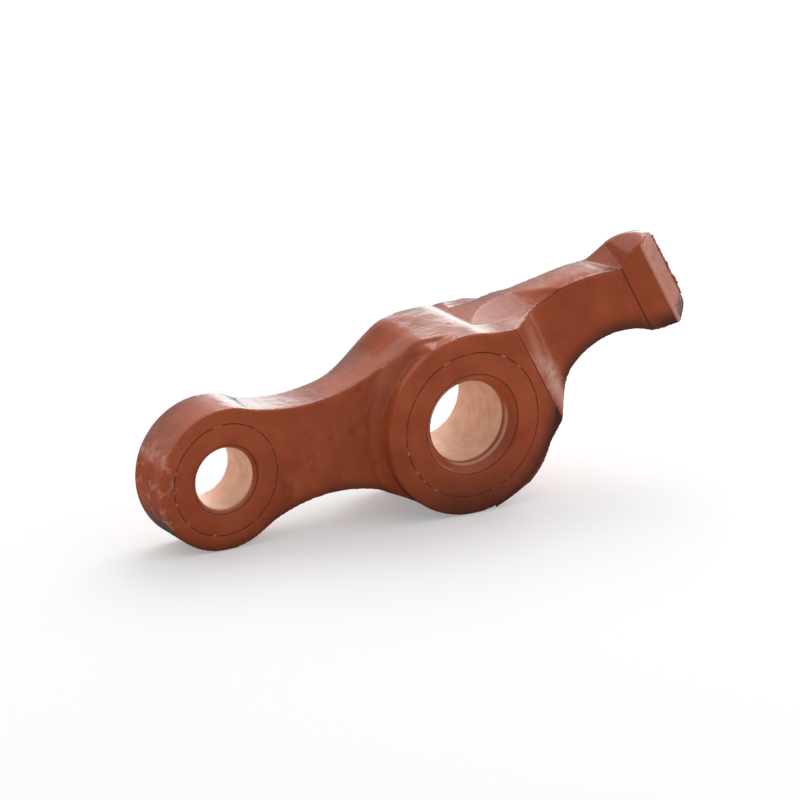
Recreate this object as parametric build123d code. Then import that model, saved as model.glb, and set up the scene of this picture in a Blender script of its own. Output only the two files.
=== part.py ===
from build123d import *
import os
from math import acos, atan2, cos, degrees, radians, sin, tan

os.makedirs("parts", exist_ok=True)

# One-piece rocker arm, moulded in brown pattern wax for investment casting.
# Millimetres. The origin is the middle of the shaft bore, the bore runs along Y,
# the front face looks towards -Y, and the arm stands upright on its two bosses.

# Shaft boss
shaft_bore_d = 16.0
shaft_mouth_d = 19.8
shaft_mouth_depth = 2.0
shaft_boss_d = 35.8
shaft_boss_width = 22.0
shaft_witness_d = 28.4

# Pin boss
pin_bore_d = 12.0
pin_mouth_d = 13.7
pin_mouth_depth = 0.9
pin_boss_d = 28.2
pin_boss_proud = 0.15
pin_witness_d = 22.0
centre_distance = 50.2

# Arms
arm_thickness = 10.7
lower_waist_r = 30.7
upper_waist_r = 38.0
shoulder_r = 6.0
shoulder_rise = 1.9
shoulder_angle = 124.0
shoulder_left_angle = 150.0
shoulder_tip_angle = 116.6
shoulder_root_r = 14.32
pad_arm_angle = 26.4
hump_r = 31.2
hump_along = 26.3
hump_top = 9.2
saddle_r = 28.0
saddle_reach = 9.5
saddle_step = 0.1
saddle_back_reach = 1.6
back_line_angle = 101.8
arch_r = 15.5
arch_along = 30.8
arch_across = -20.6

# Cheeks of the shaft boss towards the pad
cheek_root = 6.0
cheek_length = 16.4
cheek_slope = 43.0
cheek_fillet_r = 6.0
back_ramp_run = 11.0
back_ramp_r = 18.0

# Pad at the end of the arm
pad_start = 42.4
pad_end = 50.8
pad_ridge_inset = 3.8
pad_ridge_proud = 3.7
pad_nose_r = 4.4
pad_nose_inset = 2.9
pad_nose_across = 4.6
pad_bottom = -9.5
pad_bottom_r = 21.0
pad_corner_r = 1.2
web_start = 38.0
web_low = 5.7
web_end = 46.0
web_high = 6.5
web_depth = 4.3
pad_back_r = 4.0
pad_dome_r = 15.3
pad_dome_along = 42.9
pad_dome_across = -5.2
pad_dome_depth = -6.0

# Mould details
draft_angle = 2.6
wall_fillet_r = 2.4
back_edge_r = 1.5
pin_boss_edge_r = 1.2
pad_back_edge_r = 1.0
witness_width = 0.3
witness_depth = 0.12

# Values that follow from the sizes above
shaft_boss_r = shaft_boss_d / 2
pin_boss_r = pin_boss_d / 2
front = -shaft_boss_width / 2
back = shaft_boss_width / 2
arm_front = -arm_thickness / 2
arm_back = arm_thickness / 2
pin_front = arm_front - pin_boss_proud
pad_ridge = pad_end - pad_ridge_inset
pad_nose_along = pad_end - pad_nose_inset
far = 40.0


def direction(angle):
    """Unit vector at an angle in degrees above +X."""
    return Vector(cos(radians(angle)), sin(radians(angle)))


along = direction(pad_arm_angle)
across = direction(pad_arm_angle + 90)


def on_pad_arm(a, t):
    """Point a millimetres out along the pad arm and t millimetres above its line."""
    return along * a + across * t


def circle_pair(c1, r1, c2, r2, side):
    """Point at distance r1 from c1 and r2 from c2, on the given side of the line c1 to c2."""
    gap = c2 - c1
    u = gap.normalized()
    reach = (r1**2 - r2**2 + gap.length**2) / (2 * gap.length)
    height = (r1**2 - reach**2) ** 0.5
    return c1 + u * reach + Vector(-u.Y, u.X) * height * side


def towards(centre, point, r):
    """Point on the circle about centre, of radius r, that faces another point."""
    return centre + (point - centre).normalized() * r


def arc(centre, p, q, long_way=False):
    """Arc about centre from p to q, the short way round unless told otherwise."""
    r = (p - centre).length
    middle = ((p - centre) + (q - centre)).normalized() * r
    return ThreePointArc(p, centre - middle if long_way else centre + middle, q)


# The side outline, drawn as seen from the front: X along the arm, Y upwards
shaft = Vector(0, 0)
pin_drop = shaft_boss_r - pin_boss_r
pin = Vector(-((centre_distance**2 - pin_drop**2) ** 0.5), -pin_drop)

# Underside of the pin arm: one arc that runs into both bosses
lower_waist = circle_pair(pin, pin_boss_r + lower_waist_r, shaft, shaft_boss_r + lower_waist_r, -1)
pin_low = towards(pin, lower_waist, pin_boss_r)
shaft_low = towards(shaft, lower_waist, shaft_boss_r)

# Top of the pin arm: an arc that rises to a small shoulder on the shaft boss
shoulder = direction(shoulder_angle) * (shaft_boss_r + shoulder_rise - shoulder_r)
upper_waist = circle_pair(pin, pin_boss_r + upper_waist_r, shoulder, shoulder_r + upper_waist_r, 1)
pin_high = towards(pin, upper_waist, pin_boss_r)
shoulder_low = towards(shoulder, upper_waist, shoulder_r)
shoulder_turn = shoulder_angle - degrees(acos((shaft_boss_r - shoulder_r) / shoulder.length))
shoulder_high = shoulder + direction(shoulder_turn) * shoulder_r
shaft_high = direction(shoulder_turn) * shaft_boss_r

# Top of the pad arm: a hollow saddle, then a long hump down to the pad
hump_across = hump_top - hump_r
hump = on_pad_arm(hump_along, hump_across)
saddle = circle_pair(shaft, shaft_boss_r + saddle_r, hump, hump_r + saddle_r, 1)
saddle_start = towards(shaft, saddle, shaft_boss_r)
saddle_end = towards(hump, saddle, hump_r)
hump_end = on_pad_arm(pad_start, hump_across + (hump_r**2 - (pad_start - hump_along) ** 2) ** 0.5)

# Nose of the pad: a straight flank that runs into a round nose, cut off square at the end
nose = on_pad_arm(pad_nose_along, pad_nose_across)
flank = hump_end - nose
flank_turn = degrees(atan2(flank.Y, flank.X)) - degrees(acos(pad_nose_r / flank.length))
nose_start = nose + direction(flank_turn) * pad_nose_r
nose_end = on_pad_arm(pad_end, pad_nose_across + (pad_nose_r**2 - (pad_end - pad_nose_along) ** 2) ** 0.5)

# Underside of the pad arm: an arch between the heel of the pad and the shaft boss
arch = on_pad_arm(arch_along, arch_across)
heel = on_pad_arm(pad_start, arch_across + (arch_r**2 - (pad_start - arch_along) ** 2) ** 0.5)
arch_turn = degrees(atan2(arch.Y, arch.X)) - degrees(acos((shaft_boss_r + arch_r) / arch.length))
arch_start = arch - direction(arch_turn) * arch_r
shaft_side = direction(arch_turn) * shaft_boss_r
corner_end = on_pad_arm(pad_end, pad_bottom + pad_corner_r)
corner = on_pad_arm(pad_end - pad_corner_r, pad_bottom + pad_corner_r)
bottom = circle_pair(heel, pad_bottom_r, corner, pad_bottom_r - pad_corner_r, 1)
corner_start = towards(bottom, corner, pad_bottom_r)

# At the back one straight line takes the place of the saddle, from the hump to the shaft boss
line_normal = direction(back_line_angle)
line_end = hump + line_normal * hump_r
line_height = line_end.dot(line_normal)
saddle_end_r = saddle.dot(line_normal) - line_height
line_start = direction(back_line_angle - degrees(acos(line_height / shaft_boss_r))) * shaft_boss_r


def outline(top_start, top_end, top_edge):
    """Side outline with the given edge between the hump and the shaft boss."""
    return make_face(
        [
            arc(lower_waist, pin_low, shaft_low),
            arc(shaft, shaft_low, shaft_side),
            Line(shaft_side, arch_start),
            arc(arch, arch_start, heel),
            arc(bottom, heel, corner_start),
            arc(corner, corner_start, corner_end),
            Line(corner_end, nose_end),
            arc(nose, nose_end, nose_start),
            Line(nose_start, hump_end),
            arc(hump, hump_end, top_end),
            top_edge,
            arc(shaft, top_start, shaft_high),
            Line(shaft_high, shoulder_high),
            arc(shoulder, shoulder_high, shoulder_low),
            arc(upper_waist, shoulder_low, pin_high),
            arc(pin, pin_high, pin_low, long_way=True),
        ]
    )


front_outline = outline(saddle_start, saddle_end, arc(saddle, saddle_end, saddle_start))
back_outline = outline(line_start, line_end, Line(line_end, line_start))

# The outline at full size through the front of the part, then drawn in by the mould's draft.
# Z is the depth here, and grows from the front face to the back. The saddle runs out as a cone.
front_slice = extrude(Pos(0, 0, front) * front_outline, amount=arm_front - front)
back_slice = extrude(Pos(0, 0, arm_front) * back_outline, amount=back - arm_front, taper=draft_angle)
saddle_top = Pos(saddle.X, saddle.Y)
on_base = (Align.CENTER, Align.CENTER, Align.MIN)
back_slice -= saddle_top * Pos(0, 0, arm_front) * Cone(
    saddle_r + saddle_step, saddle_end_r, saddle_reach, align=on_base
)
back_slice -= saddle_top * Pos(0, 0, arm_back) * Cone(
    saddle_end_r, saddle_r + saddle_step, saddle_back_reach, align=on_base
)
back_slice -= saddle_top * Pos(0, 0, arm_back + saddle_back_reach) * Cylinder(
    saddle_r + saddle_step, back - arm_back, align=on_base
)

# Pin arm: the pin's side of the outline, with its back edge rounded
cut_plane = Plane(origin=on_pad_arm(cheek_root, 0), x_dir=along, z_dir=(0, 0, 1))
pin_side = cut_plane * Pos(-2 * far, 0, 0) * Box(4 * far, 4 * far, 4 * far)
pin_arm = extrude(Pos(0, 0, arm_front) * back_outline, amount=arm_thickness, taper=draft_angle) & pin_side
back_edges = pin_arm.edges().group_by(Axis.Z)[-1]
cut_edge = back_edges.sort_by_distance(cut_plane.origin + Vector(0, 0, arm_back))[0]
pin_arm = fillet(back_edges - [cut_edge], back_edge_r)

# Pad arm: cut to its plan of cheeks, ramps and pad
ramp_run = (arm_front - front) / tan(radians(cheek_slope))
ramp_foot = cheek_length + ramp_run
ridge_front = arm_front - pad_ridge_proud
plan_points = [
    (cheek_root, front),
    (cheek_length, front),
    (ramp_foot, arm_front),
    (pad_start, arm_front),
    (pad_ridge, ridge_front),
    (pad_end, arm_front),
    (pad_end, arm_back),
    (ramp_foot, arm_back),
    (cheek_length, back),
    (cheek_root, back),
]
plan = Polygon(*plan_points, align=None)
plan = fillet([v for v in plan.vertices() if abs(v.X - ramp_foot) < 0.01], cheek_fillet_r)
plan_plane = Plane(origin=on_pad_arm(0, far), x_dir=along, z_dir=-across)
pad_arm = (front_slice + back_slice) & extrude(plan_plane * plan, amount=2 * far)
outer_edges = [
    e
    for e in pad_arm.edges().filter_by_position(Axis.Z, arm_back - 0.01, arm_back + 0.01)
    if abs((e % 0.5).dot(along)) > 0.5 or (e @ 0.5).dot(along) > pad_start
]
pad_arm = fillet(outer_edges, pad_back_edge_r)

# The pad's back corner is rounded off in plan
corner_block = Pos(pad_end, arm_back) * Rectangle(2 * pad_back_r, 2 * pad_back_r)
corner_block -= Pos(pad_end - pad_back_r, arm_back - pad_back_r) * Circle(pad_back_r)
pad_arm -= extrude(plan_plane * corner_block, amount=2 * far)

# Web on top of the pad: it starts at a point on the front edge and grows towards the back
web_back = make_face(
    Polyline(
        on_pad_arm(web_start, 0) + Vector(0, 0, web_depth),
        on_pad_arm(web_end, 0) + Vector(0, 0, web_depth),
        on_pad_arm(web_end, web_high) + Vector(0, 0, web_depth),
        on_pad_arm(web_start, web_low) + Vector(0, 0, web_depth),
        close=True,
    )
)
web_tip = Vertex(*(hump_end + Vector(0, 0, arm_front)))
pad_arm += loft([web_back, web_tip])

# The pad's top is domed
dome_middle = on_pad_arm(pad_dome_along, pad_dome_across) + Vector(0, 0, pad_dome_depth)
pad_top = Rot(0, 0, pad_arm_angle) * Pos(pad_start + far / 2, pad_dome_across + far / 2) * Box(far, far, far)
pad_arm -= pad_top - Pos(*dome_middle) * Sphere(pad_dome_r)

# Bosses: the shaft boss is cut off by the cheeks on the pad's side
boss_plan = Polygon(
    (-far, front),
    (cheek_length, front),
    (ramp_foot, arm_front),
    (ramp_foot, arm_back),
    (cheek_length, back),
    (-far, back),
    align=None,
)
shaft_boss = extrude(Pos(0, 0, front) * Circle(shaft_boss_r), amount=arm_front - front)
shaft_boss += extrude(Pos(0, 0, arm_front) * Circle(shaft_boss_r), amount=back - arm_front, taper=draft_angle)
shaft_boss &= extrude(plan_plane * boss_plan, amount=2 * far)
pin_boss = extrude(Pos(pin.X, pin.Y, pin_front) * Circle(pin_boss_r), amount=arm_back - pin_front)
pin_boss = fillet(pin_boss.edges().group_by(Axis.Z)[-1], pin_boss_edge_r)

# Round fillet where the shaft boss's wall meets the front face of the pin arm
f = wall_fillet_r
fillet_section = make_face(
    [
        Line((shaft_boss_r - f, arm_front), (shaft_boss_r + f, arm_front)),
        RadiusArc((shaft_boss_r + f, arm_front), (shaft_boss_r, arm_front - f), f),
        Line((shaft_boss_r, arm_front - f), (shaft_boss_r - f, arm_front - f)),
        Line((shaft_boss_r - f, arm_front - f), (shaft_boss_r - f, arm_front)),
    ]
)
ring_front = revolve(Plane.XZ * fillet_section, axis=Axis.Z) & front_slice & pin_side

# Hollow ramp from the back of the shaft boss down to the back face of the pin arm
boss_back_r = shaft_boss_r - (back - arm_front) * tan(radians(draft_angle))
foot = arm_back - back_edge_r
ramp_section = make_face(
    [
        Line((boss_back_r - f, foot), (boss_back_r + back_ramp_run, foot)),
        RadiusArc((boss_back_r + back_ramp_run, foot), (boss_back_r, back), back_ramp_r),
        Line((boss_back_r, back), (boss_back_r - f, back)),
        Line((boss_back_r - f, back), (boss_back_r - f, foot)),
    ]
)
ring_back = revolve(Plane.XZ * ramp_section, axis=Axis.Z) & back_slice & pin_side

# Front of the shoulder: it runs out to a point on the front rim of the shaft boss
shoulder_left = shoulder + direction(shoulder_left_angle) * shoulder_r
shoulder_root = direction(shoulder_turn) * shoulder_root_r
shoulder_base = make_face(
    [
        Line(shoulder_root, shaft_high),
        Line(shaft_high, shoulder_high),
        arc(shoulder, shoulder_high, shoulder_left),
        Line(shoulder_left, shoulder_root),
    ]
)
shoulder_tip = Vertex(*(direction(shoulder_tip_angle) * shaft_boss_r + Vector(0, 0, front)))
shoulder_front = loft([Pos(0, 0, arm_front) * shoulder_base, shoulder_tip])

body = pad_arm + pin_arm + shaft_boss + pin_boss + ring_front + ring_back + shoulder_front

# Bores with their flared mouths
shaft_mouth = Cone(
    shaft_mouth_d / 2, shaft_bore_d / 2, shaft_mouth_depth, align=(Align.CENTER, Align.CENTER, Align.MIN)
)
pin_mouth = Cone(
    pin_mouth_d / 2, pin_bore_d / 2, pin_mouth_depth, align=(Align.CENTER, Align.CENTER, Align.MIN)
)
body -= Cylinder(shaft_bore_d / 2, 2 * shaft_boss_width)
body -= Pos(0, 0, front) * shaft_mouth
body -= mirror(Pos(0, 0, front) * shaft_mouth, about=Plane.XY)
body -= Pos(pin.X, pin.Y, 0) * Cylinder(pin_bore_d / 2, 2 * shaft_boss_width)
body -= Pos(pin.X, pin.Y, pin_front) * pin_mouth


def witness_line(centre_x, centre_y, depth, diameter):
    """Shallow ring groove that the mould's bore plug leaves in a boss face."""
    ring = Circle(diameter / 2 + witness_width / 2) - Circle(diameter / 2 - witness_width / 2)
    return extrude(Pos(centre_x, centre_y, depth) * ring, amount=witness_depth)


body -= witness_line(0, 0, front, shaft_witness_d)
body -= witness_line(pin.X, pin.Y, pin_front, pin_witness_d)

# Stand the part up: the depth becomes Y and the drawing's Y becomes Z
rocker_arm = mirror(body, about=Plane(origin=(0, 0, 0), z_dir=(0, 1, -1)))
export_step(rocker_arm, "parts/rocker_arm.step")
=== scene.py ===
from math import cos, radians, sin
from random import Random

import bmesh
import bpy
from mathutils import Matrix, Vector


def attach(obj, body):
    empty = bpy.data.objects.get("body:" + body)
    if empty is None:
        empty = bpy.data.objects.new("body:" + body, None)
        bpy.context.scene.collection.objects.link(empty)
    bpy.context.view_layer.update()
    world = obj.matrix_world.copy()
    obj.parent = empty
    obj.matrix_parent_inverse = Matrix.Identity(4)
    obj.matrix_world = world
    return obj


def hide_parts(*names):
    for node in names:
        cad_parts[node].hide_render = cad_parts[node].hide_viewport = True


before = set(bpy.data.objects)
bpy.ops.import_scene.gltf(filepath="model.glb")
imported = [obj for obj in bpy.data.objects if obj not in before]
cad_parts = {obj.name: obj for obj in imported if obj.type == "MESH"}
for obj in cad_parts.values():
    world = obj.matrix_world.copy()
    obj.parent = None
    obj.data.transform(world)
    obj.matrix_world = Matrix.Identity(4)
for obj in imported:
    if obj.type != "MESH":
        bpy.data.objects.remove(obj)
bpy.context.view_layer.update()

mm = 0.001


def node(tree, kind, **sockets):
    """New shader node with values set on its input sockets, by name."""
    made = tree.nodes.new(kind)
    for name, value in sockets.items():
        made.inputs[name.replace("_", " ")].default_value = value
    return made


def colour(code):
    """Linear RGBA from a web colour such as #8e452d."""
    values = [int(code[i:i + 2], 16) / 255 for i in (1, 3, 5)]
    return [v / 12.92 if v <= 0.04045 else ((v + 0.055) / 1.055) ** 2.4 for v in values] + [1.0]


def maths(tree, operation, first, second):
    """Maths node on two inputs, each a socket or a number."""
    made = tree.nodes.new("ShaderNodeMath")
    made.operation = operation
    for socket, value in zip(made.inputs, (first, second)):
        if isinstance(value, (int, float)):
            socket.default_value = value
        else:
            tree.links.new(value, socket)
    return made.outputs[0]


# The rocker arm: one casting pattern of translucent brown wax, pressed in a polished two-part
# mould. Its surface is glossy, slightly wavy and duller in the bores. The bores are painted pale, a
# painted light for the light reaching into them.
wax = bpy.data.materials.new("brown_pattern_wax")
wax.use_nodes = True
tree = wax.node_tree
tree.nodes.clear()
texture_space = node(tree, "ShaderNodeTexCoord").outputs
coordinates = texture_space["Object"]
place = tree.nodes.new("ShaderNodeSeparateXYZ")
tree.links.new(coordinates, place.inputs[0])
x, y, z = place.outputs
normal = tree.nodes.new("ShaderNodeSeparateXYZ")
tree.links.new(texture_space["Normal"], normal.inputs[0])
faces_back = normal.outputs["Y"]
faces_up = normal.outputs["Z"]


def noise(scale, detail, roughness):
    """Noise over the part, with its scale in bumps per metre."""
    made = node(tree, "ShaderNodeTexNoise", Scale=scale, Detail=detail, Roughness=roughness)
    tree.links.new(coordinates, made.inputs["Vector"])
    return made.outputs["Fac"]


def ramp(factor, stops):
    """Colour ramp from a list of position and web colour."""
    made = node(tree, "ShaderNodeValToRGB")
    elements = made.color_ramp.elements
    while len(elements) < len(stops):
        elements.new(0.5)
    for element, (position, code) in zip(elements, stops):
        element.position = position
        element.color = colour(code)
    tree.links.new(factor, made.inputs["Fac"])
    return made.outputs["Color"]


def blend(factor, first, second):
    """Mixed colour of two sockets."""
    made = tree.nodes.new("ShaderNodeMix")
    made.data_type = "RGBA"
    tree.links.new(factor, made.inputs[0])
    tree.links.new(first, made.inputs[6])
    tree.links.new(second, made.inputs[7])
    return made.outputs[2]


def paint(mask, under, code):
    """A web colour laid over a colour where the mask is 1."""
    made = tree.nodes.new("ShaderNodeMix")
    made.data_type = "RGBA"
    tree.links.new(mask, made.inputs[0])
    tree.links.new(under, made.inputs[6])
    made.inputs[7].default_value = colour(code)
    return made.outputs[2]


def fade(value, start, end):
    """Rises from 0 to 1 while the value goes from start to end."""
    made = node(tree, "ShaderNodeMapRange", From_Min=start, From_Max=end)
    tree.links.new(value, made.inputs["Value"])
    return made.outputs["Result"]


def both(*masks):
    """Product of masks: 1 where all of them are 1."""
    product = masks[0]
    for mask in masks[1:]:
        product = maths(tree, "MULTIPLY", product, mask)
    return product


def either(*masks):
    """Largest of several masks: 1 where any of them is 1."""
    largest = masks[0]
    for mask in masks[1:]:
        largest = maths(tree, "MAXIMUM", largest, mask)
    return largest


def part_of(mask, share):
    """Mask at a share of its strength."""
    return maths(tree, "MULTIPLY", mask, share)


def band(value, low, high, soft):
    """1 between two values, 0 outside them, with soft limits."""
    return both(fade(value, low - soft, low), fade(value, high + soft, high))


def mixed(first, first_share, second, second_share):
    """Weighted sum of two coordinates."""
    one = maths(tree, "MULTIPLY", first, first_share)
    return maths(tree, "ADD", one, maths(tree, "MULTIPLY", second, second_share))


def distance_from(axis_x, axis_z):
    """Distance of a point from an axis that runs along Y."""
    dx = maths(tree, "SUBTRACT", x, axis_x)
    dz = maths(tree, "SUBTRACT", z, axis_z)
    squared = maths(tree, "ADD", maths(tree, "MULTIPLY", dx, dx), maths(tree, "MULTIPLY", dz, dz))
    return maths(tree, "POWER", squared, 0.5)


body_colour = ramp(noise(110.0, 3.0, 0.55), [(0.3, "#974427"), (0.7, "#ae5735")])
# Painted light: the bores are coloured pale peach for the light that reaches into them.
bore_painted_light = ramp(noise(400.0, 2.0, 0.5), [(0.3, "#e2b497"), (0.7, "#f3d0b6")])
shaft_r = distance_from(0.0, 0.0)
pin_r = distance_from(-50.06 * mm, -3.8 * mm)
shaft_bore = both(fade(shaft_r, 8.2 * mm, 8.1 * mm), fade(y, -8.3 * mm, -7.9 * mm))
pin_bore = fade(pin_r, 6.15 * mm, 6.05 * mm)
bores = either(shaft_bore, pin_bore)
# Painted reflection and shade: the colour turns dark grey-brown where the surface is seen at a grazing
# angle, round the outlines.
grazing_share = node(tree, "ShaderNodeLayerWeight", Blend=0.5).outputs["Facing"]
painted_rim_mask = ramp(grazing_share, [(0.62, "#000000"), (0.9, "#ffffff")])
painted_rim_colour = ramp(grazing_share, [(0.66, "#5a2c1e"), (0.88, "#251d21")])
gloss = maths(tree, "ADD", part_of(noise(160.0, 3.0, 0.6), 0.12), 0.12)
waves = maths(tree, "ADD", noise(300.0, 2.0, 0.5), part_of(noise(1400.0, 1.0, 0.5), 0.2))
bump = node(tree, "ShaderNodeBump", Strength=0.5, Distance=0.25 * mm)
tree.links.new(waves, bump.inputs["Height"])
wax_shader = node(
    tree,
    "ShaderNodeBsdfPrincipled",
    IOR=1.42,
    Subsurface_Weight=0.3,
    Subsurface_Scale=2.0 * mm,
    Subsurface_Radius=(1.0, 0.32, 0.14),
)
body_and_painted_rim = blend(painted_rim_mask, body_colour, painted_rim_colour)

# Painted shade: darker colour near the lower edges of the faces, on the flash fins and at the back of
# the top.
# Then dark specks in patches, and handling marks: dark smudges on the pin arm, pale scuffs on the end of
# the pin boss.
pad_turn = radians(26.4)
outwards = mixed(x, cos(pad_turn), z, sin(pad_turn))
upwards = mixed(z, cos(pad_turn), x, -sin(pad_turn))
arch_r = distance_from(36.75 * mm, -4.76 * mm)
boss_shade = both(
    fade(shaft_r, 14.4 * mm, 17.9 * mm),
    fade(y, -10.0 * mm, -10.8 * mm),
    fade(mixed(x, 0.55, z, -0.84), 5.0 * mm, 14.0 * mm),
)
pin_shade = both(
    fade(pin_r, 11.4 * mm, 14.1 * mm),
    fade(y, -4.4 * mm, -5.2 * mm),
    fade(z, -8.0 * mm, -16.5 * mm),
)
arch_shade = both(
    fade(arch_r, 18.6 * mm, 15.6 * mm),
    fade(y, -4.4 * mm, -5.2 * mm),
    fade(outwards, 18.0 * mm, 22.0 * mm),
)
pad_shade = both(
    fade(upwards, -6.0 * mm, -9.3 * mm),
    fade(outwards, 40.0 * mm, 45.0 * mm),
    fade(y, -4.4 * mm, -5.2 * mm),
)
arm_shade = both(
    fade(distance_from(-25.58 * mm, -41.32 * mm), 33.2 * mm, 30.8 * mm),
    fade(y, -4.4 * mm, -5.2 * mm),
    band(x, -42.0 * mm, -16.0 * mm, 6.0 * mm),
)
# Painted shade: the flash fins are coloured dark, as they lie in shade.
boss_fin = both(
    fade(shaft_r, 17.93 * mm, 18.0 * mm),
    fade(y, -10.7 * mm, -10.8 * mm),
    fade(z, 1.0 * mm, 0.5 * mm),
)
pad_fin = fade(outwards, 50.8 * mm, 50.87 * mm)
light_shade = part_of(either(pin_shade, arm_shade), 0.75)
shade = either(boss_shade, arch_shade, pad_shade, light_shade, boss_fin, pad_fin)
# Painted shade at the back of the top surfaces.
arm_back = both(fade(y, 1.0 * mm, 5.2 * mm), fade(shaft_r, 18.6 * mm, 20.0 * mm))
boss_back = fade(y, 6.5 * mm, 11.0 * mm)
far_shade = both(either(arm_back, boss_back), fade(faces_up, 0.3, 0.5))
# The painted shade is laid over the body colour here, before the real specks, smudges and scuffs.
shaded = paint(part_of(far_shade, 0.5), body_and_painted_rim, "#3f2d2e")
shaded = paint(part_of(shade, 0.85), shaded, "#2e2322")
specks = both(fade(noise(1900.0, 1.0, 0.5), 0.7, 0.76), fade(noise(120.0, 2.0, 0.5), 0.45, 0.55))
shade_and_dirt = paint(part_of(specks, 0.6), shaded, "#3b1a12")
smudges = both(fade(noise(210.0, 4.0, 0.65), 0.56, 0.66), band(x, -38.0 * mm, -20.0 * mm, 5.0 * mm))
shade_and_dirt = paint(part_of(smudges, 0.35), shade_and_dirt, "#5f2415")
scuffs = both(fade(noise(420.0, 5.0, 0.7), 0.52, 0.62), fade(x, -59.0 * mm, -62.5 * mm))
shade_and_dirt = paint(part_of(scuffs, 0.35), shade_and_dirt, "#d8a390")

# The shine is dulled on the shoulder and on the front of the pad arm's top, where it was handled
worn_edge = fade(noise(240.0, 4.0, 0.7), 0.36, 0.46)
on_shoulder = both(band(x, -14.5 * mm, -5.0 * mm, 2.5 * mm), band(y, -0.5 * mm, 6.5 * mm, 2.0 * mm))
on_arm_top = both(fade(y, -0.5 * mm, -2.5 * mm), band(outwards, 25.0 * mm, 38.0 * mm, 3.0 * mm))
rubbed = both(
    either(on_shoulder, on_arm_top),
    fade(faces_up, 0.4, 0.6),
    worn_edge,
)
shine = maths(tree, "SUBTRACT", 0.45, part_of(rubbed, 0.36))
tree.links.new(shine, wax_shader.inputs["Specular IOR Level"])

# Thin lines: rings of the bore plugs, painted shade along the mould line on the top edges, in the
# creases at the cheek and the pad and round the mouths of the bores, and painted highlights on rounded
# edges, the ridge and the bore mouth.
broken = noise(600.0, 3.0, 0.6)
on_rim = both(fade(faces_back, -0.25, -0.4), fade(faces_back, -0.68, -0.6))
top_rim = both(on_rim, fade(faces_up, 0.2, 0.35))
flash_line_shade = both(top_rim, fade(x, -2.8 * mm, -2.2 * mm), fade(broken, 0.36, 0.42))
edge_highlight = both(top_rim, fade(x, -8.0 * mm, -9.0 * mm), band(y, -5.6 * mm, -4.7 * mm, 0.1 * mm))
shaft_ring = both(band(shaft_r, 14.12 * mm, 14.28 * mm, 0.07 * mm), fade(y, -10.6 * mm, -10.7 * mm))
pin_ring = both(band(pin_r, 10.92 * mm, 11.08 * mm, 0.07 * mm), fade(y, -5.2 * mm, -5.3 * mm))
# Painted glint and shade: the plug rings are coloured dark and bright along their length for the light
# on their raised edge.
ring_glint_and_shade = ramp(broken, [(0.55, "#5d2c1d"), (0.68, "#c08670")])
cheek_crease_shade = both(band(outwards, 16.3 * mm, 16.5 * mm, 0.1 * mm), fade(y, -10.5 * mm, -10.7 * mm))
pad_crease_shade = both(band(outwards, 42.2 * mm, 42.4 * mm, 0.1 * mm), fade(y, -5.1 * mm, -5.2 * mm))
shaft_mouth_shade = both(band(shaft_r, 9.8 * mm, 9.95 * mm, 0.1 * mm), fade(y, -10.3 * mm, -10.5 * mm))
pin_mouth_shade = both(band(pin_r, 6.75 * mm, 6.9 * mm, 0.1 * mm), fade(y, -4.9 * mm, -5.1 * mm))
ridge_highlight = both(band(outwards, 46.4 * mm, 47.3 * mm, 0.1 * mm), fade(y, -8.6 * mm, -8.8 * mm))
ramp_foot_highlight = both(
    band(outwards, 18.8 * mm, 19.8 * mm, 1.6 * mm),
    fade(y, -5.3 * mm, -6.0 * mm),
    fade(upwards, 13.0 * mm, -6.0 * mm),
    fade(noise(260.0, 3.0, 0.6), 0.25, 0.5),
)
bore_mouth_highlight = both(
    band(shaft_r, 8.15 * mm, 8.4 * mm, 0.15 * mm),
    fade(mixed(x, 0.6, z, -0.8), 2.0 * mm, 5.0 * mm),
    fade(y, -7.0 * mm, -8.0 * mm),
)
# The dark lines are painted shade.
painted_shade_lines = either(flash_line_shade, cheek_crease_shade, pad_crease_shade, shaft_mouth_shade, pin_mouth_shade)
# The pale lines are painted highlights on rounded edges, the ridge, the ramp's foot and the lower lip of
# the shaft bore's mouth.
painted_highlights = either(ridge_highlight, part_of(edge_highlight, 0.6), part_of(ramp_foot_highlight, 0.9), bore_mouth_highlight)
lined = paint(part_of(painted_shade_lines, 0.65), shade_and_dirt, "#3d1c12")
lined = paint(part_of(painted_highlights, 0.8), lined, "#cf9a86")
lined = blend(either(shaft_ring, pin_ring), lined, ring_glint_and_shade)
tree.links.new(blend(bores, lined, bore_painted_light), wax_shader.inputs["Base Color"])
tree.links.new(maths(tree, "ADD", gloss, part_of(bores, 0.3)), wax_shader.inputs["Roughness"])
tree.links.new(bump.outputs["Normal"], wax_shader.inputs["Normal"])
wax_output = node(tree, "ShaderNodeOutputMaterial")
tree.links.new(wax_shader.outputs["BSDF"], wax_output.inputs["Surface"])

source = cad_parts["rocker_arm"]
mesh = source.data.copy()
work = bmesh.new()
work.from_mesh(mesh)
bmesh.ops.remove_doubles(work, verts=work.verts, dist=0.001 * mm)
work.to_mesh(mesh)
work.free()
mesh.materials.clear()
mesh.materials.append(wax)

# The mould is worn, so every edge and corner is softened: a fine even mesh is laid over the
# merged shape and relaxed a little.
shape = bpy.data.objects.new("shape", mesh)
bpy.context.scene.collection.objects.link(shape)
fine = shape.modifiers.new("fine", "REMESH")
fine.mode = "VOXEL"
fine.voxel_size = 0.36 * mm
relaxed = shape.modifiers.new("relaxed", "SMOOTH")
relaxed.factor = 0.5
relaxed.iterations = 2
finished = bpy.data.meshes.new_from_object(shape.evaluated_get(bpy.context.evaluated_depsgraph_get()))
finished.name = "rocker_arm_surface"
bpy.data.objects.remove(shape)

# Thin ragged flash, left where the mould halves met: round the lower right of the boss face
# and along the front edge of the pad's end. Each fin is a strip with its foot inside the part.
work = bmesh.new()
work.from_mesh(finished)


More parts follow.
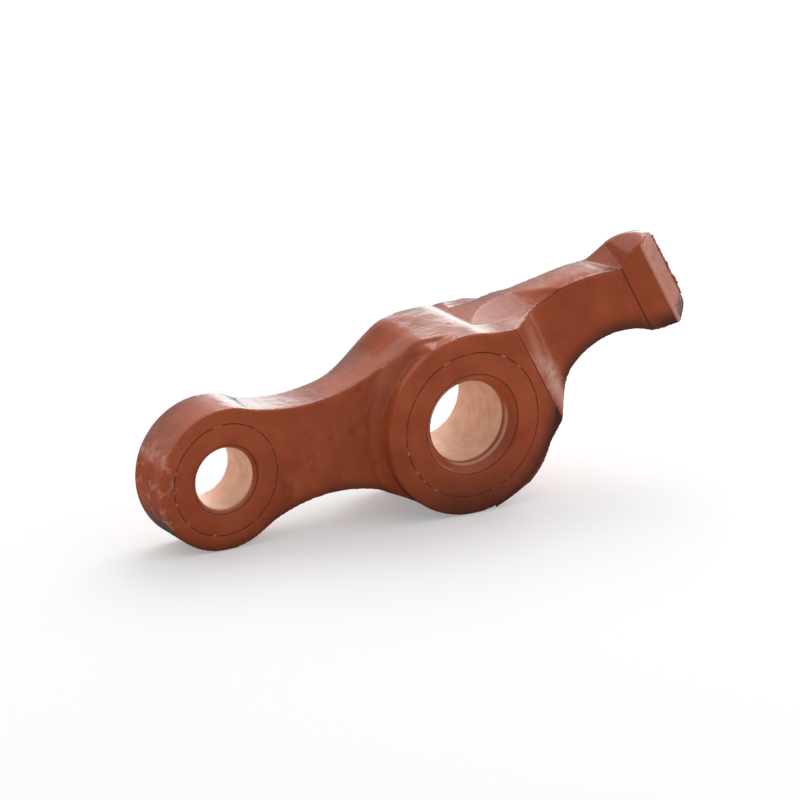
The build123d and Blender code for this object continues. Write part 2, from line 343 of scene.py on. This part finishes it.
def fin(feet, tips, depth, thickness):
    """Closed thin strip between two rows of points in the XZ plane, in millimetres."""
    rows = []
    for outline, shift in ((feet, 0.0), (tips, 0.0), (tips, thickness), (feet, thickness)):
        rows.append([work.verts.new((px * mm, (depth + shift) * mm, pz * mm)) for px, pz in outline])
    for row, following in zip(rows, rows[1:] + rows[:1]):
        for i in range(len(feet) - 1):
            work.faces.new((row[i], row[i + 1], following[i + 1], following[i]))
    for end in (0, -1):
        work.faces.new([row[end] for row in rows])


chance = Random(5)
boss_rim_r = 17.9
pad_end = 50.8
feet = []
tips = []
for step in range(60):
    angle = radians(2.0 - 76.0 * step / 59)
    lump = 0.25 if 34 < step < 40 else 0.0
    height = 0.35 + 0.25 * sin(7.0 * angle) + chance.uniform(-0.06, 0.06) + lump
    tip_r = boss_rim_r + max(0.02, min(0.6, height))
    foot_r = boss_rim_r - 0.7
    feet.append((foot_r * cos(angle), foot_r * sin(angle)))
    tips.append((tip_r * cos(angle), tip_r * sin(angle)))
fin(feet, tips, -10.92, 0.15)

feet = []
tips = []
for step in range(50):
    t = 7.0 - 14.2 * step / 49
    height = 0.25 + chance.uniform(-0.08, 0.08)
    if 22 < step < 26 or 33 < step < 42:
        height += 0.22
    foot = pad_end - 0.7
    feet.append((foot * cos(pad_turn) - t * sin(pad_turn), foot * sin(pad_turn) + t * cos(pad_turn)))
    tip = pad_end + height
    tips.append((tip * cos(pad_turn) - t * sin(pad_turn), tip * sin(pad_turn) + t * cos(pad_turn)))
fin(feet, tips, -5.3, 0.15)
bmesh.ops.recalc_face_normals(work, faces=work.faces)
work.to_mesh(finished)
work.free()
finished.polygons.foreach_set("use_smooth", [True] * len(finished.polygons))
rocker_arm = bpy.data.objects.new("rocker_arm_surface", finished)
bpy.context.scene.collection.objects.link(rocker_arm)
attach(rocker_arm, "root")
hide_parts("rocker_arm")

# Studio: a white sweep under the part, one large softbox high behind it on the right, a long
# strip light low on the right, a small window far behind, and a room that is darker in front.
ground = -17.9 * mm
floor_mesh = bpy.data.meshes.new("floor")
reach = 3.0
floor_mesh.from_pydata(
    [(-reach, -reach, ground), (reach, -reach, ground), (reach, reach, ground), (-reach, reach, ground)],
    [],
    [(0, 1, 2, 3)],
)
floor = bpy.data.objects.new("floor", floor_mesh)
bpy.context.scene.collection.objects.link(floor)
paper = bpy.data.materials.new("white_paper")
paper.use_nodes = True
paper.node_tree.nodes.clear()
table = paper.node_tree
lit_paper = node(table, "ShaderNodeBsdfDiffuse", Color=(0.85, 0.85, 0.85, 1.0))
seen_paper = node(table, "ShaderNodeBsdfDiffuse", Color=(0.64, 0.64, 0.64, 1.0))
glow = node(table, "ShaderNodeEmission", Color=(1.0, 1.0, 1.0, 1.0), Strength=0.3)
# Painted reflection: the floor is dark grey only to glossy rays, so the part reflects a dark floor.
paper_dark_in_reflections = node(table, "ShaderNodeBsdfDiffuse", Color=(0.12, 0.12, 0.13, 1.0))
ray = node(table, "ShaderNodeLightPath").outputs
lit_from_below = table.nodes.new("ShaderNodeAddShader")
table.links.new(seen_paper.outputs[0], lit_from_below.inputs[0])
table.links.new(glow.outputs[0], lit_from_below.inputs[1])
for_gloss = table.nodes.new("ShaderNodeMixShader")
table.links.new(ray["Is Glossy Ray"], for_gloss.inputs[0])
table.links.new(lit_paper.outputs[0], for_gloss.inputs[1])
table.links.new(paper_dark_in_reflections.outputs[0], for_gloss.inputs[2])
for_camera = table.nodes.new("ShaderNodeMixShader")
table.links.new(ray["Is Camera Ray"], for_camera.inputs[0])
table.links.new(for_gloss.outputs[0], for_camera.inputs[1])
table.links.new(lit_from_below.outputs[0], for_camera.inputs[2])
paper_output = node(table, "ShaderNodeOutputMaterial")
table.links.new(for_camera.outputs[0], paper_output.inputs["Surface"])
floor_mesh.materials.append(paper)

softbox = bpy.data.lights.new("softbox", "AREA")
softbox.shape = "SQUARE"
softbox.size = 0.6
softbox.energy = 2.9
softbox_stand = bpy.data.objects.new("softbox", softbox)
softbox_stand.location = (0.4, 0.42, 0.6)
softbox_aim = Vector((-0.01, 0, 0)) - softbox_stand.location
softbox_stand.rotation_euler = softbox_aim.to_track_quat("-Z", "Y").to_euler()
bpy.context.scene.collection.objects.link(softbox_stand)

strip = bpy.data.lights.new("strip_light", "AREA")
strip.shape = "RECTANGLE"
strip.size = 0.8
strip.size_y = 0.25
strip.energy = 0.9
strip_stand = bpy.data.objects.new("strip_light", strip)
strip_stand.location = (0.42, 0.3, 0.1)
strip_stand.rotation_euler = Vector((-1, 0, 0)).to_track_quat("-Z", "Y").to_euler()
bpy.context.scene.collection.objects.link(strip_stand)

spot = bpy.data.lights.new("small_window", "AREA")
spot.shape = "SQUARE"
spot.size = 0.32
spot.energy = 0.62
spot_stand = bpy.data.objects.new("small_window", spot)
spot_stand.location = (0.51, 0.83, 0.13)
spot_aim = Vector((-0.04, 0, 0.01)) - spot_stand.location
spot_stand.rotation_euler = spot_aim.to_track_quat("-Z", "Y").to_euler()
bpy.context.scene.collection.objects.link(spot_stand)

world = bpy.data.worlds.new("studio")
bpy.context.scene.world = world
world.use_nodes = True
room = world.node_tree
room.nodes.clear()
view_direction = node(room, "ShaderNodeTexCoord").outputs["Generated"]
facing = room.nodes.new("ShaderNodeVectorMath")
facing.operation = "DOT_PRODUCT"
room.links.new(view_direction, facing.inputs[0])
facing.inputs[1].default_value = (0.42, 0.86, 0.29)
level = room.nodes.new("ShaderNodeMapRange")
level.inputs["From Min"].default_value = -0.6
level.inputs["From Max"].default_value = 0.6
level.inputs["To Min"].default_value = 0.5
level.inputs["To Max"].default_value = 1.05
room.links.new(facing.outputs["Value"], level.inputs["Value"])
seen = node(room, "ShaderNodeLightPath").outputs["Is Camera Ray"]
strength = maths(room, "MAXIMUM", level.outputs["Result"], seen)
sky = node(room, "ShaderNodeBackground", Color=(1.0, 1.0, 1.0, 1.0))
room.links.new(strength, sky.inputs["Strength"])
room_output = node(room, "ShaderNodeOutputWorld")
room.links.new(sky.outputs["Background"], room_output.inputs["Surface"])

# Camera: a long lens far away, fitted to the circles of the two bosses.
azimuth = radians(-28.82)
elevation = radians(19.09)
roll = radians(-0.56)
distance = 3150.0 * mm
target = Vector((-15.611, -11.0, 7.673)) * mm
lens = bpy.data.cameras.new("camera")
lens.sensor_width = 36.0
lens.lens = 752.6
lens.clip_start = 0.1
lens.clip_end = 20.0
camera = bpy.data.objects.new("camera", lens)
outward = Vector((sin(azimuth) * cos(elevation), -cos(azimuth) * cos(elevation), sin(elevation)))
turn = outward.to_track_quat("Z", "Y").to_matrix().to_4x4() @ Matrix.Rotation(roll, 4, "Z")
camera.matrix_world = Matrix.Translation(target + outward * distance) @ turn
bpy.context.scene.collection.objects.link(camera)
bpy.context.scene.camera = camera
bpy.context.scene.view_settings.view_transform = "Standard"
